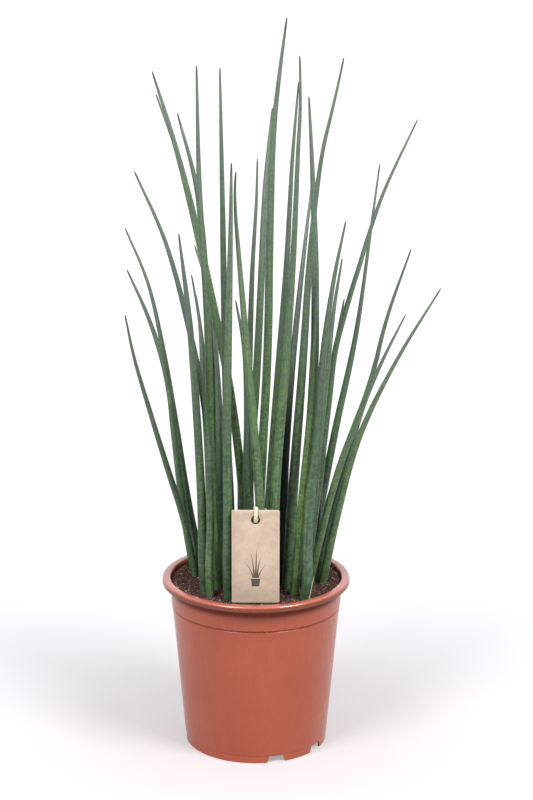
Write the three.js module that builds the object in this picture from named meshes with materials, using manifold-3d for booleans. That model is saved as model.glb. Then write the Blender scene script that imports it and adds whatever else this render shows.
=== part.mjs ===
// A potted mikado snake plant: a bush of slim round leaves standing in the soil of a nursery pot,
// with a card tag tied to one leaf.
// Millimetres, +Z up. The pot stands on z = 0, its axis is the Z axis and the plant's front is -Y.
import * as THREE from "three";
import { mergeVertices } from "three/addons/utils/BufferGeometryUtils.js";
import Module from "manifold-3d";

const wasm = await Module();
wasm.setup();

// Pot: a 19 cm injection-moulded nursery pot
const POT_HEIGHT = 175;
const RIM_RADIUS = 95;
const RIM_INNER_RADIUS = 88.2;
const RIM_DROP = 6;
const WALL = 1.8;
const COLLAR_TOP_RADIUS = 87;
const COLLAR_BOTTOM_RADIUS = 85.8;
const GROOVE_HEIGHT = 145;
const GROOVE_DEPTH = 0.7;
const BODY_TOP_RADIUS = 85.3;
const SHOULDER_HEIGHT = 137;
const SHOULDER_RADIUS = 84.3;
const BODY_BOTTOM_RADIUS = 72.7;
const FOOT_HEIGHT = 8;
const FOOT_RADIUS = 72.2;
const FLOOR_THICKNESS = 2;
const PAD_RADIUS = 30;
const PAD_SLOPE = 3;
const POT_SIDES = 48;

// Trapezoid drain notches round the foot, in degrees from +X, and the round holes in the floor
const NOTCH_ANGLES = [-73.5, -33, 2, 106.5, 147, 182];
const NOTCH_HEIGHT = 7;
const NOTCH_BOTTOM_WIDTH = 18.5;
const NOTCH_TOP_WIDTH = 14.5;
const DRAIN_HOLES = 6;
const DRAIN_RADIUS = 4.5;
const DRAIN_CIRCLE_RADIUS = 46;

// Soil
const GAP = 0.3;
const SOIL_LEVEL = 165;
const SOIL_RINGS = 7;
const SOIL_RISE = 5;
const RISE_START_RADIUS = 66;
const RISE_END_RADIUS = 84;

// Leaves: sides and bands of each solid, how deep and how far in each is buried, and how the
// girth falls towards the tip
const LEAF_SIDES = 8;
const LEAF_BANDS = 12;
const BURIED = 25;
const INWARD = 0.94;
const SHOULDER = 0.7;
const LOWER_TAPER = 1.6;
const UPPER_TAPER = 0.75;
const TIP_GIRTH = 1.5;
const LEAN = 1.3;
const CHANNEL = 0.12;
const TIP_CROWDING = 1.35;

// Tag card and its cord
const TAG_WIDTH = 47;
const TAG_HEIGHT = 96;
const TAG_THICKNESS = 1;
const TAG_CORNER = 1.5;
const TAG_CENTRE = new THREE.Vector3(-0.5, -57, 214);
const TAG_HOLE_RADIUS = 4.5;
const TAG_HOLE_DROP = 10;
const CORD_HALF_WIDTH = 1.9;
const CORD_HALF_THICKNESS = 0.8;
const TIED_LEAF = 15;

// Each leaf: girth at the soil, girth at its shoulder, root [x, y] on the soil,
// the points [x, z] that it passes on its way up, and its tip [x, y, z].
const LEAVES = [
  leaf(7.5, 4.3, [-62, 22], [[-72, 225], [-89, 291], [-105, 356], [-118, 413]], [-125, -60, 458]),
  leaf(7.9, 5.7, [-64, 34], [[-74, 230], [-82, 301], [-90, 371], [-108, 433]], [-129, 40, 482]),
  leaf(7.7, 4.5, [-56, 42], [[-70, 237], [-82, 314], [-95, 390], [-111, 459]], [-134, 100, 513]),
  leaf(7.9, 5.3, [-47, -38], [[-45, 254], [-49, 350], [-66, 443], [-88, 526]], [-116, -30, 591]),
  leaf(9.1, 6.7, [-52, -22], [[-54, 262], [-58, 357], [-64, 452]], [-73, -66, 538]),
  leaf(6.7, 4.9, [-45, 3], [[-47, 230], [-49, 301], [-53, 370], [-56, 432]], [-64, 20, 481]),
  leaf(6.5, 4.9, [-41, 14], [[-44, 226], [-48, 291], [-51, 355], [-54, 413]], [-60, 30, 459]),
  leaf(9.3, 7.1, [-10, 45], [[-15, 260], [-27, 360], [-46, 460], [-64, 545], [-83, 620]], [-101, 30, 679]),
  leaf(5.9, 4.1, [-17, 54], [[-17, 264], [-29, 370], [-52, 473], [-74, 567]], [-102, 120, 647]),
  leaf(8.3, 7.1, [-35, 32], [[-40, 262], [-45, 367], [-51, 469], [-60, 560]], [-79, 80, 633]),
  leaf(9.3, 6.0, [-40, -14], [[-45, 304], [-47, 439], [-54, 573]], [-56, -40, 692]),
  leaf(6.8, 5.3, [-31, 66], [[-35, 231], [-39, 301], [-44, 371], [-49, 434]], [-65, 160, 484]),
  leaf(7.8, 6.4, [-32, 12], [[-36, 233], [-37, 301], [-38, 369]], [-43, 25, 432]),
  leaf(8.8, 6.0, [-23, 2], [[-25, 240], [-28, 301], [-31, 433], [-33, 566]], [-35, 10, 685]),
  leaf(9.8, 6.2, [-28, -43], [[-28, 258], [-28, 359], [-26, 456], [-24, 542]], [-23, -96, 609]),
  leaf(9.4, 5.6, [6, -38], [[4, 256], [-3, 355], [-11, 450], [-18, 540], [-20, 575]], [-19, -90, 600]),
  leaf(8.2, 5.8, [-6, -24], [[-5, 227], [-9, 294], [-9, 360], [-12, 419]], [-20, -30, 466]),
  leaf(8.3, 5.2, [-12, -5], [[-10, 275], [-7, 381], [-4, 480], [0, 550]], [1, 60, 590]),
  leaf(9.4, 7.0, [0, -12], [[5, 287], [11, 417], [13, 543], [16, 630], [22, 690]], [28, -50, 737]),
  leaf(9.0, 6.5, [-7, 15], [[-7, 262], [0, 366], [5, 468], [9, 560]], [16, 110, 634]),
  leaf(10.4, 5.3, [16, -30], [[19, 281], [28, 405], [35, 524], [38, 610], [40, 665]], [39, -100, 707]),
  leaf(8.8, 5.3, [8, 5], [[14, 270], [22, 383], [30, 493], [35, 591]], [41, 40, 668]),
  leaf(9.7, 5.9, [26, -1], [[28, 266], [35, 365], [46, 467]], [58, 130, 562]),
  leaf(10.9, 5.2, [31, -13], [[37, 279], [45, 400], [52, 518], [62, 610], [74, 665]], [81, -48, 700]),
  leaf(9.5, 7.1, [38, -38], [[46, 268], [56, 379], [57, 487], [54, 583]], [50, 0, 659]),
  leaf(6.8, 5.1, [40, -4], [[42, 221], [47, 282], [52, 342], [54, 395]], [55, -10, 438]),
  leaf(11.2, 6.0, [50, -49], [[51, 249], [60, 331], [65, 413], [75, 487]], [86, -20, 542]),
  leaf(7.9, 5.9, [50, 3], [[56, 233], [63, 307], [70, 380], [77, 445]], [85, 30, 496]),
  leaf(7.9, 4.8, [51, 17], [[64, 271], [72, 340], [79, 400], [101, 480], [125, 555]], [159, 60, 629]),
  leaf(7.3, 5.3, [60, 30], [[64, 236], [70, 305], [78, 376]], [90, 90, 442]),
  leaf(9.1, 4.0, [56, 44], [[70, 250], [87, 336], [98, 384], [106, 430], [117, 511]], [126, 120, 576]),
  leaf(8.3, 4.8, [53, -11], [[64, 221], [81, 296], [109, 388], [124, 459]], [144, -90, 528]),
  leaf(8.1, 4.9, [62, 11], [[78, 233], [94, 290], [106, 335], [127, 385]], [151, 60, 432]),
  leaf(8.9, 4.4, [67, -1], [[82, 246], [102, 326], [137, 407]], [177, -40, 480]),
  leaf(7.5, 5.3, [-20, 72], [[-33, 250]], [-43, 160, 392]),
  leaf(7.7, 5.3, [15, 62], [[22, 260]], [30, 150, 410]),
  leaf(7.7, 5.3, [38, 60], [[52, 255]], [64, 150, 385]),
  leaf(7.3, 5.3, [-50, 56], [[-49, 250]], [-53, 120, 380]),
  leaf(7.5, 5.3, [-4, 72], [[-6, 260]], [0, 120, 395]),
  leaf(7.5, 5.3, [22, 30], [[26, 280]], [32, 100, 448]),
];

function leaf(girth, upperGirth, root, passes, tip) {
  return { girth, upperGirth, root, passes, tip };
}

function flatMaterial(color, roughness) {
  return new THREE.MeshStandardMaterial({ color, roughness, metalness: 0 });
}

function closedGeometry(positions, triangles) {
  const geometry = new THREE.BufferGeometry();
  geometry.setAttribute("position", new THREE.Float32BufferAttribute(positions, 3));
  geometry.setIndex(triangles);
  return geometry;
}

function toSolid(geometry) {
  const bare = geometry.clone();
  bare.deleteAttribute("normal");
  bare.deleteAttribute("uv");
  const merged = mergeVertices(bare, 1e-4);
  const vertProperties = new Float32Array(merged.getAttribute("position").array);
  const triVerts = new Uint32Array(merged.getIndex().array);
  return new wasm.Manifold(new wasm.Mesh({ numProp: 3, vertProperties, triVerts }));
}

function toGeometry(solid) {
  const mesh = solid.getMesh();
  return closedGeometry(Array.from(mesh.vertProperties), Array.from(mesh.triVerts));
}

// A closed body from rings of equal length, the first ring at the bottom, each turning
// anticlockwise seen from above.
function loft(rings) {
  const sides = rings[0].length;
  const triangles = [];
  for (let band = 0; band + 1 < rings.length; band += 1) {
    for (let side = 0; side < sides; side += 1) {
      const next = (side + 1) % sides;
      const low = band * sides;
      const high = low + sides;
      triangles.push(low + side, low + next, high + next);
      triangles.push(low + side, high + next, high + side);
    }
  }
  const top = (rings.length - 1) * sides;
  for (let side = 1; side + 1 < sides; side += 1) {
    triangles.push(0, side + 1, side);
    triangles.push(top, top + side, top + side + 1);
  }
  return closedGeometry(rings.flat().flatMap((point) => point.toArray()), triangles);
}

// A closed profile of [radius, height] points turned round the Z axis
function turned(profile) {
  const points = profile.map(([radius, height]) => new THREE.Vector2(radius, height));
  return new THREE.LatheGeometry(points, POT_SIDES).rotateX(Math.PI / 2);
}

// The wall widens steadily up to its shoulder and then a little more up to the lip.
function innerWallRadius(height) {
  if (height < SHOULDER_HEIGHT) {
    const share = (height - FOOT_HEIGHT) / (SHOULDER_HEIGHT - FOOT_HEIGHT);
    return THREE.MathUtils.lerp(BODY_BOTTOM_RADIUS, SHOULDER_RADIUS, share) - WALL;
  }
  const share = (height - SHOULDER_HEIGHT) / (POT_HEIGHT - RIM_DROP - SHOULDER_HEIGHT);
  return THREE.MathUtils.lerp(SHOULDER_RADIUS, COLLAR_TOP_RADIUS, share) - WALL;
}

// The pot's wall and floor. The floor's middle is a flat pad that stands on the surface, inside a
// raised channel that the drain notches open into.
function potProfile() {
  const floor = FOOT_HEIGHT + FLOOR_THICKNESS;
  const lipBottom = POT_HEIGHT - RIM_DROP;
  const lipHollow = POT_HEIGHT - WALL;
  return [
    [0, 0],
    [PAD_RADIUS, 0],
    [PAD_RADIUS + PAD_SLOPE, FOOT_HEIGHT],
    [FOOT_RADIUS - WALL, FOOT_HEIGHT],
    [FOOT_RADIUS - WALL, 0],
    [FOOT_RADIUS - 0.4, 0],
    [FOOT_RADIUS, 0.4],
    [FOOT_RADIUS, FOOT_HEIGHT - 0.3],
    [BODY_BOTTOM_RADIUS, FOOT_HEIGHT + 0.2],
    [SHOULDER_RADIUS, SHOULDER_HEIGHT],
    [BODY_TOP_RADIUS, GROOVE_HEIGHT - 1],
    [BODY_TOP_RADIUS - GROOVE_DEPTH, GROOVE_HEIGHT - 0.4],
    [BODY_TOP_RADIUS - GROOVE_DEPTH, GROOVE_HEIGHT + 0.3],
    [COLLAR_BOTTOM_RADIUS, GROOVE_HEIGHT + 0.9],
    [COLLAR_TOP_RADIUS, lipBottom - 0.6],
    [COLLAR_TOP_RADIUS + 0.8, lipHollow - 1.4],
    [RIM_RADIUS - WALL, lipHollow - 1],
    [RIM_RADIUS - WALL, lipBottom + 0.2],
    [RIM_RADIUS - WALL + 0.5, lipBottom],
    [RIM_RADIUS - 0.4, lipBottom + 0.1],
    [RIM_RADIUS, lipBottom + 0.8],
    [RIM_RADIUS, POT_HEIGHT - 1.6],
    [RIM_RADIUS - 0.6, POT_HEIGHT - 0.5],
    [RIM_RADIUS - 1.8, POT_HEIGHT],
    [RIM_INNER_RADIUS, POT_HEIGHT],
    [RIM_INNER_RADIUS - 1.8, POT_HEIGHT - 0.8],
    [innerWallRadius(lipBottom) + 0.4, lipBottom + 2],
    [innerWallRadius(lipBottom), lipBottom - 1],
    [innerWallRadius(SHOULDER_HEIGHT), SHOULDER_HEIGHT],
    [innerWallRadius(floor), floor],
    [PAD_RADIUS + PAD_SLOPE - WALL, floor],
    [PAD_RADIUS - WALL, FLOOR_THICKNESS],
    [0, FLOOR_THICKNESS],
  ];
}

// A trapezoid prism that cuts one drain notch through the foot ring
function notchCutter(angle) {
  const below = 1;
  const slope = (NOTCH_BOTTOM_WIDTH - NOTCH_TOP_WIDTH) / 2 / NOTCH_HEIGHT;
  const bottom = NOTCH_BOTTOM_WIDTH / 2 + slope * below;
  const shape = new THREE.Shape([
    new THREE.Vector2(-bottom, -below),
    new THREE.Vector2(bottom, -below),
    new THREE.Vector2(NOTCH_TOP_WIDTH / 2, NOTCH_HEIGHT),
    new THREE.Vector2(-NOTCH_TOP_WIDTH / 2, NOTCH_HEIGHT),
  ]);
  const depth = 16;
  const geometry = new THREE.ExtrudeGeometry(shape, { depth, bevelEnabled: false });
  geometry.rotateX(Math.PI / 2);
  geometry.translate(0, depth / 2 - FOOT_RADIUS, 0);
  geometry.rotateZ(THREE.MathUtils.degToRad(angle + 90));
  return toSolid(geometry);
}

function drainCutter(index) {
  const angle = (2 * Math.PI * (index + 0.5)) / DRAIN_HOLES;
  const geometry = new THREE.CylinderGeometry(DRAIN_RADIUS, DRAIN_RADIUS, 10, 16);
  geometry.rotateX(Math.PI / 2);
  const x = DRAIN_CIRCLE_RADIUS * Math.cos(angle);
  const y = DRAIN_CIRCLE_RADIUS * Math.sin(angle);
  geometry.translate(x, y, FOOT_HEIGHT + FLOOR_THICKNESS / 2);
  return toSolid(geometry);
}

function potMesh() {
  let solid = toSolid(turned(potProfile()));
  for (const angle of NOTCH_ANGLES) {
    solid = solid.subtract(notchCutter(angle));
  }
  for (let index = 0; index < DRAIN_HOLES; index += 1) {
    solid = solid.subtract(drainCutter(index));
  }
  const mesh = new THREE.Mesh(toGeometry(solid), flatMaterial(0xb46450, 0.45));
  mesh.name = "pot";
  return mesh;
}

// The soil is pressed flat under the tag, slightly lumpy elsewhere and higher along the pot's wall.
function soilHeight(x, y) {
  const lumps = Math.sin(x / 8.5 + 1) * Math.cos(y / 10.5) + 0.7 * Math.sin((x - y) / 13 + 2);
  const nearTag = Math.abs(x) < TAG_WIDTH / 2 + 8 && Math.abs(y - TAG_CENTRE.y) < 8;
  const rise = THREE.MathUtils.smoothstep(Math.hypot(x, y), RISE_START_RADIUS, RISE_END_RADIUS);
  return SOIL_LEVEL + SOIL_RISE * rise + (nearTag ? 0 : 1.2 * (1 - 0.5 * rise) * lumps);
}

function soilRing(radius, height) {
  const ring = [];
  for (let side = 0; side < POT_SIDES; side += 1) {
    const angle = (2 * Math.PI * side) / POT_SIDES;
    const x = radius * Math.sin(angle);
    const y = -radius * Math.cos(angle);
    ring.push(new THREE.Vector3(x, y, height ?? soilHeight(x, y)));
  }
  return ring;
}

function soilMesh() {
  const floor = FOOT_HEIGHT + FLOOR_THICKNESS + GAP;
  const fit = 1.5 * GAP;
  const padTop = PAD_RADIUS + PAD_SLOPE - WALL - fit;
  const edge = innerWallRadius(SOIL_LEVEL + SOIL_RISE - 2) - fit;
  const rings = [
    soilRing(padTop - PAD_SLOPE, FLOOR_THICKNESS + GAP),
    soilRing(padTop, floor),
    soilRing(innerWallRadius(floor) - fit, floor),
  ];
  for (let step = SOIL_RINGS; step > 0; step -= 1) {
    rings.push(soilRing((edge * step) / SOIL_RINGS));
  }
  let solid = toSolid(loft(rings));
  for (const row of LEAVES) {
    solid = solid.subtract(leafHole(row));
  }
  const mesh = new THREE.Mesh(toGeometry(solid), flatMaterial(0x3a211c, 0.95));
  mesh.name = "soil";
  return mesh;
}

// The middle line of a leaf, from its buried end to its tip
function leafCurve(row) {
  const [rootX, rootY] = row.root;
  const [tipX, tipY, tipZ] = row.tip;
  const root = new THREE.Vector3(rootX, rootY, SOIL_LEVEL);
  const passes = row.passes.map(([x, z]) => {
    const share = (z - SOIL_LEVEL) / (tipZ - SOIL_LEVEL);
    return new THREE.Vector3(x, rootY + (tipY - rootY) * share ** LEAN, z);
  });
  const buried = new THREE.Vector3(INWARD * rootX, INWARD * rootY, SOIL_LEVEL - BURIED);
  return new THREE.CatmullRomCurve3([buried, root, ...passes, new THREE.Vector3(tipX, tipY, tipZ)]);
}

function leafGirth(row, share) {
  if (share < SHOULDER) {
    const fallen = (Math.max(share, 0) / SHOULDER) ** LOWER_TAPER;
    return row.girth - (row.girth - row.upperGirth) * fallen;
  }
  const left = ((1 - share) / (1 - SHOULDER)) ** UPPER_TAPER;
  return TIP_GIRTH + (row.upperGirth - TIP_GIRTH) * left;
}

// Rings along a leaf, closer together towards the tip. The channel faces the middle of the bush.
function leafRings(row, bands, extra) {
  const curve = leafCurve(row);
  const length = curve.getLength();
  const channelWay = new THREE.Vector3(-row.root[0], -row.root[1], 0).normalize();
  const rings = [];
  for (let band = 0; band <= bands; band += 1) {
    const along = 1 - (1 - band / LEAF_BANDS) ** TIP_CROWDING;
    const centre = curve.getPointAt(along);
    const tangent = curve.getTangentAt(along);
    const side = new THREE.Vector3().crossVectors(tangent, channelWay).normalize();
    const inward = new THREE.Vector3().crossVectors(side, tangent);
    const share = (along * length - BURIED) / (length - BURIED);
    const radius = leafGirth(row, share) / 2 + extra;
    rings.push(leafRing(centre, inward, side, radius));
  }
  return rings;
}

function leafRing(centre, inward, side, radius) {
  const fullness = 1 / Math.sqrt(Math.cos(Math.PI / LEAF_SIDES));
  const ring = [];
  for (let corner = 0; corner < LEAF_SIDES; corner += 1) {
    const angle = (2 * Math.PI * corner) / LEAF_SIDES;
    const reach = radius * fullness * (corner === 0 ? 1 - CHANNEL : 1);
    const point = centre.clone();
    point.addScaledVector(inward, reach * Math.cos(angle));
    point.addScaledVector(side, reach * Math.sin(angle));
    ring.push(point);
  }
  return ring;
}

// The hole that a leaf stands in, a little wider and deeper than its buried end
function leafHole(row) {
  const rings = leafRings(row, 2, 1.1 * GAP);
  for (const point of rings[0]) {
    point.z -= GAP;
  }
  return toSolid(loft(rings));
}

function leafMesh(row, index) {
  const shade = 0.5 + 0.5 * Math.sin(index * 2.4);
  const color = new THREE.Color(0x3d5a3f).lerp(new THREE.Color(0x5d7f52), shade);
  const mesh = new THREE.Mesh(loft(leafRings(row, LEAF_BANDS, 0)), flatMaterial(color, 0.5));
  mesh.name = `leaf_${String(index + 1).padStart(2, "0")}`;
  return mesh;
}

function tagMesh() {
  const [w, h, c] = [TAG_WIDTH / 2, TAG_HEIGHT / 2, TAG_CORNER];
  const shape = new THREE.Shape();
  shape.moveTo(-w + c, -h);
  shape.lineTo(w - c, -h);
  shape.absarc(w - c, -h + c, c, -Math.PI / 2, 0);
  shape.absarc(w - c, h - c, c, 0, Math.PI / 2);
  shape.absarc(-w + c, h - c, c, Math.PI / 2, Math.PI);
  shape.absarc(-w + c, -h + c, c, Math.PI, 1.5 * Math.PI);
  const hole = new THREE.Path();
  hole.absarc(0, h - TAG_HOLE_DROP, TAG_HOLE_RADIUS, 0, 2 * Math.PI, true);
  shape.holes.push(hole);
  const options = { depth: TAG_THICKNESS, bevelEnabled: false, curveSegments: 5 };
  const geometry = new THREE.ExtrudeGeometry(shape, options);
  geometry.rotateX(Math.PI / 2);
  geometry.translate(0, TAG_THICKNESS / 2, 0);
  const mesh = new THREE.Mesh(geometry, flatMaterial(0xd9bda4, 0.85));
  mesh.position.copy(TAG_CENTRE);
  mesh.name = "tag_card";
  return mesh;
}

// The cord goes through the tag's hole, up its front, over its top edge and round the leaf behind it.
function cordPath() {
  const top = TAG_CENTRE.z + TAG_HEIGHT / 2;
  const holeX = TAG_CENTRE.x;
  const cardY = TAG_CENTRE.y;
  const holeZ = top - TAG_HOLE_DROP;
  const { x: leafX, y: leafY } = leafCentreAt(LEAVES[TIED_LEAF], top - 5);
  const round = LEAVES[TIED_LEAF].girth / 2 + CORD_HALF_THICKNESS + 0.6;
  const off = TAG_THICKNESS / 2 + CORD_HALF_THICKNESS + 0.5;
  const places = [
    [holeX, cardY, holeZ - 2.5],
    [holeX, cardY - off, holeZ + 0.5],
    [holeX + 0.3, cardY - off, top - 2],
    [holeX + 0.5, cardY, top + off],
    [leafX - round * 0.9, leafY - 4, top - 1],
    [leafX - round * 0.9, leafY + 2, top - 3],
    [leafX, leafY + round, top - 4],
    [leafX + round, leafY, top - 5],
    [leafX + round * 0.5, leafY - round, top - 7],
    [holeX + 0.6, cardY + off + 0.8, holeZ - 1],
  ];
  const level = new THREE.Vector3(1, 0, 0);
  const upright = new THREE.Vector3(0, 0, 1);
  const aroundLeaf = (index) => index >= 4 && index <= 8;
  const widths = places.map((place, index) => (aroundLeaf(index) ? upright : level));
  return {
    centres: new THREE.CatmullRomCurve3(places.map((place) => new THREE.Vector3(...place)), true),
    widths: new THREE.CatmullRomCurve3(widths, true, "catmullrom"),
  };
}

function leafCentreAt(row, height) {
  const curve = leafCurve(row);
  const points = curve.getSpacedPoints(300);
  return points.find((point) => point.z >= height);
}

function cordMesh() {
  const steps = 40;
  const sides = 8;
  const path = cordPath();
  const positions = [];
  const triangles = [];
  for (let step = 0; step < steps; step += 1) {
    const centre = path.centres.getPoint(step / steps);
    const tangent = path.centres.getTangent(step / steps);
    const across = path.widths.getPoint(step / steps);
    across.addScaledVector(tangent, -across.dot(tangent)).normalize();
    const through = new THREE.Vector3().crossVectors(tangent, across);
    for (let side = 0; side < sides; side += 1) {
      const angle = (2 * Math.PI * side) / sides;
      const point = centre.clone();
      point.addScaledVector(across, CORD_HALF_WIDTH * Math.cos(angle));
      point.addScaledVector(through, CORD_HALF_THICKNESS * Math.sin(angle));
      positions.push(...point.toArray());
      const next = (side + 1) % sides;
      const here = step * sides;
      const ahead = ((step + 1) % steps) * sides;
      triangles.push(here + side, here + next, ahead + next);
      triangles.push(here + side, ahead + next, ahead + side);
    }
  }
  const mesh = new THREE.Mesh(closedGeometry(positions, triangles), flatMaterial(0xf0e2c4, 0.9));
  mesh.name = "tag_cord";
  return mesh;
}

const group = new THREE.Group();
group.add(potMesh());
group.add(soilMesh());
LEAVES.forEach((row, index) => group.add(leafMesh(row, index)));
group.add(tagMesh());
group.add(cordMesh());

export default group;
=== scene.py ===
import math

import bmesh
import bpy
import numpy as np
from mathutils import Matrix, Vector, noise


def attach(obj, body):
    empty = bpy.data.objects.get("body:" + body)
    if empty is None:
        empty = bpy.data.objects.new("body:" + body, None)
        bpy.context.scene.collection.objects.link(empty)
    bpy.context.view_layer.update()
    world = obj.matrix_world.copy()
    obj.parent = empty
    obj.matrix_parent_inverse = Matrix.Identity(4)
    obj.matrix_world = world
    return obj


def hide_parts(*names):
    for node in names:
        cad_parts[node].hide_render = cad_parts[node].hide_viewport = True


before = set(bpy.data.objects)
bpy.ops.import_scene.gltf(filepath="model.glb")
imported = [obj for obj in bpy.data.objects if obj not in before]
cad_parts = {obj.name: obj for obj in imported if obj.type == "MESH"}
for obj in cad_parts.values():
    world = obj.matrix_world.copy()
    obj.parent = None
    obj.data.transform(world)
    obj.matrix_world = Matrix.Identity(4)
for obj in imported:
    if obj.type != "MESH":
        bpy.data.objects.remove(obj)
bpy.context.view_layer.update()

MM = 0.001

# Camera: in front of the plant, looking down and slightly to the right of it
CAMERA_PLACE = (0, -2.0, 0.893)
CAMERA_DOWN = math.radians(14.97)
CAMERA_TURN = math.radians(-0.258)
CAMERA_ROLL = math.radians(-0.126)
CAMERA_LENS = 93.87
CAMERA_SENSOR = 36

# Studio: how bright the white room looks, how much soft light it gives, the floor's radius, its glow
# under the pot, where it has faded into white and how early, and the two softboxes as name, place in
# metres, side in metres and watts
WHITE_ROOM = 1.0
ROOM_FILL = 0.25
FLOOR_RADIUS = 40
FLOOR_GLOW = 0.22
FLOOR_FADE = 2.5
FLOOR_CURVE = 0.46
LIGHT_AIM = Vector((0, 0, 0.3))
SOFTBOXES = (
    ("left softbox", (-1.35, -1.6, 2.6), 1.1, 84),
    ("right softbox", (1.55, -1.3, 2.5), 1.1, 95),
)

# Pot, in millimetres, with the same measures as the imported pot
POT_HEIGHT = 175
RIM_RADIUS = 95
RIM_INNER_RADIUS = 88.2
RIM_DROP = 6
WALL = 1.8
COLLAR_TOP_RADIUS = 87
COLLAR_BOTTOM_RADIUS = 85.8
GROOVE_HEIGHT = 145
GROOVE_DEPTH = 0.7
BODY_TOP_RADIUS = 85.3
SHOULDER_HEIGHT = 137
SHOULDER_RADIUS = 84.3
BODY_BOTTOM_RADIUS = 72.7
FOOT_HEIGHT = 8
FOOT_RADIUS = 72.2
PAD_RADIUS = 30
PAD_SLOPE = 3
FLOOR_THICKNESS = 2
NOTCH_ANGLES = (-73.5, -33, 2, 106.5, 147, 182)
NOTCH_HEIGHT = 7
NOTCH_BOTTOM_WIDTH = 18.5
NOTCH_TOP_WIDTH = 14.5
NOTCH_REACH = 8
DRAIN_HOLES = 6
DRAIN_RADIUS = 4.5
DRAIN_CIRCLE_RADIUS = 46
DRAIN_CUT = 10
POT_STEPS = 192
ROUNDING_STEPS = 5

# Soil, in millimetres: its level in the middle and its rise along the wall, its gap to the pot, how
# far round the tag it lies flatter, and half of the strip there that has no crumbs
SOIL_LEVEL = 165
SOIL_RISE = 5
RISE_START_RADIUS = 66
RISE_END_RADIUS = 84
SOIL_GAP = 0.3
SOIL_RINGS = 56
TAG_PATCH = 8
CLEAR_HALF_WIDTH = 26
CLEAR_HALF_DEPTH = 2.4

# Leaves: corners of a packed ring, fine stations, how much closer they stand at the tip, sides, depth
# of the channel and the furrows as shares of the half girth, and how far from its end and to what
# share of its girth a tip closes
LEAF_CORNERS = 8
LEAF_STATIONS = 110
LEAF_CROWDING = 1.5
LEAF_SIDES = 26
LEAF_CHANNEL = 0.13
LEAF_FURROWS = 0.055
TIP_LENGTH = 6
TIP_POINT = 0.4
TIED_LEAF = "leaf_16"
LEAF_NODES = sorted(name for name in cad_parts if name.startswith("leaf_"))

# The hole that a leaf stands in: its sides, how far it is cut past the soil's level, and how much wider
# and deeper than the leaf it is, in millimetres
HOLE_SIDES = 20
HOLE_RISE = 8
HOLE_PLAY = 0.3
HOLE_DEPTH = 0.2

# Tag card and its cord, in millimetres, and the drawing on the card: each leaf as foot, lean, bend,
# height and half width, and the pot under them as half width, depth of its middle and half height
TAG_WIDTH = 47
TAG_HEIGHT = 96
TAG_THICKNESS = 1
TAG_CORNER = 1.5
TAG_EDGE = 0.18
TAG_CENTRE = Vector((-0.5, -57, 214))
TAG_HOLE_RADIUS = 4.5
TAG_HOLE_DROP = 10
CORD_HALF_WIDTH = 1.9
CORD_HALF_THICKNESS = 0.8
CORD_STEPS = 160
DRAWING_DROP = 22
DRAWN_LEAVES = (
    (-2.4, -3.0, -5.5, 17, 0.8), (-1.2, -1.5, -2.0, 26, 1.0), (0.2, 0.3, 0.8, 31, 1.1),
    (1.5, 1.2, 2.8, 23, 1.0), (2.6, 3.0, 6.0, 15, 0.8),
)
DRAWN_POT = (4.2, 5.0, 4.0)

# Dry bits: name, girth and the points that each passes, in millimetres
DRY_BITS = (
    ("dry_straw", 0.6, ((52, -64, 167), (54, -58, 178), (57, -50, 190))),
    ("root_fibre", 0.35, ((75, 32, 168), (84, 34, 176.3), (91, 36, 181), (96, 37, 190))),
)

# How pale each leaf in view is at its foot and at its top, from 0, dark, to 1, pale: partly its own
# tone and partly painted shade and light, darker where other leaves shade it, and the shares of its
# length between which it changes
LEAF_TONES_AND_SHADES = {
    1: (0.7, 0.6), 2: (0.7, 0.55), 3: (0.65, 0.55), 4: (0.65, 0.4), 5: (0.6, 0.55), 6: (0.85, 0.7),
    8: (1.0, 0.8), 9: (0.5, 0.45), 10: (0.4, 0.35), 11: (0.9, 0.65), 13: (0.4, 0.7), 14: (0.55, 0.5),
    15: (0.6, 0.75), 16: (0.9, 0.95), 17: (0.5, 0.4), 18: (0.5, 0.5), 19: (0.8, 0.75), 20: (0.85, 0.65),
    21: (0.85, 0.75), 22: (0.75, 0.45), 23: (0.02, 0.25), 24: (0.65, 0.6), 25: (0.95, 0.6), 26: (0.2, 0.2),
    27: (0.5, 0.4), 28: (0.55, 0.75), 29: (0.7, 0.65), 30: (0.15, 0.15), 31: (0.65, 0.4),
    32: (0.85, 0.7), 33: (0.3, 0.45), 34: (0.85, 0.9),
}
TONE_CHANGE = (0.38, 0.56)

# Darkest and palest of the leaves behind, and the seed that their tones are drawn from
BACK_TONES = (0.35, 0.65)
TONE_SEED = 5


# Building blocks for geometry and shader trees

def add(tree, kind, sockets=None, **settings):
    """Adds a node. A socket is given a plain value or another node's output."""
    node = tree.nodes.new(kind)
    for name, value in settings.items():
        setattr(node, name, value)
    for key, value in (sockets or {}).items():
        if isinstance(value, bpy.types.NodeSocket):
            tree.links.new(value, node.inputs[key])
        else:
            node.inputs[key].default_value = value
    return node


def made(tree, kind, sockets=None, **settings):
    """Adds a node and gives its first output."""
    return add(tree, kind, sockets, **settings).outputs[0]


def maths(tree, operation, *values, clamp=False):
    sockets = dict(enumerate(values))
    return made(tree, "ShaderNodeMath", sockets, operation=operation, use_clamp=clamp)


def times(tree, first, second):
    return maths(tree, "MULTIPLY", first, second)


def vector_maths(tree, operation, *values):
    node = add(tree, "ShaderNodeVectorMath", dict(enumerate(values)), operation=operation)
    return node.outputs["Value" if operation == "LENGTH" else "Vector"]


def scaled(tree, vector, factor):
    return made(tree, "ShaderNodeVectorMath", {0: vector, "Scale": factor}, operation="SCALE")


def spread(tree, value, low, high, out_low=0.0, out_high=1.0):
    """Stretches the values from low to high over out_low to out_high, with soft ends."""
    sockets = {0: value, 1: low, 2: high, 3: out_low, 4: out_high}
    return made(tree, "ShaderNodeMapRange", sockets, interpolation_type="SMOOTHSTEP")


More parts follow.
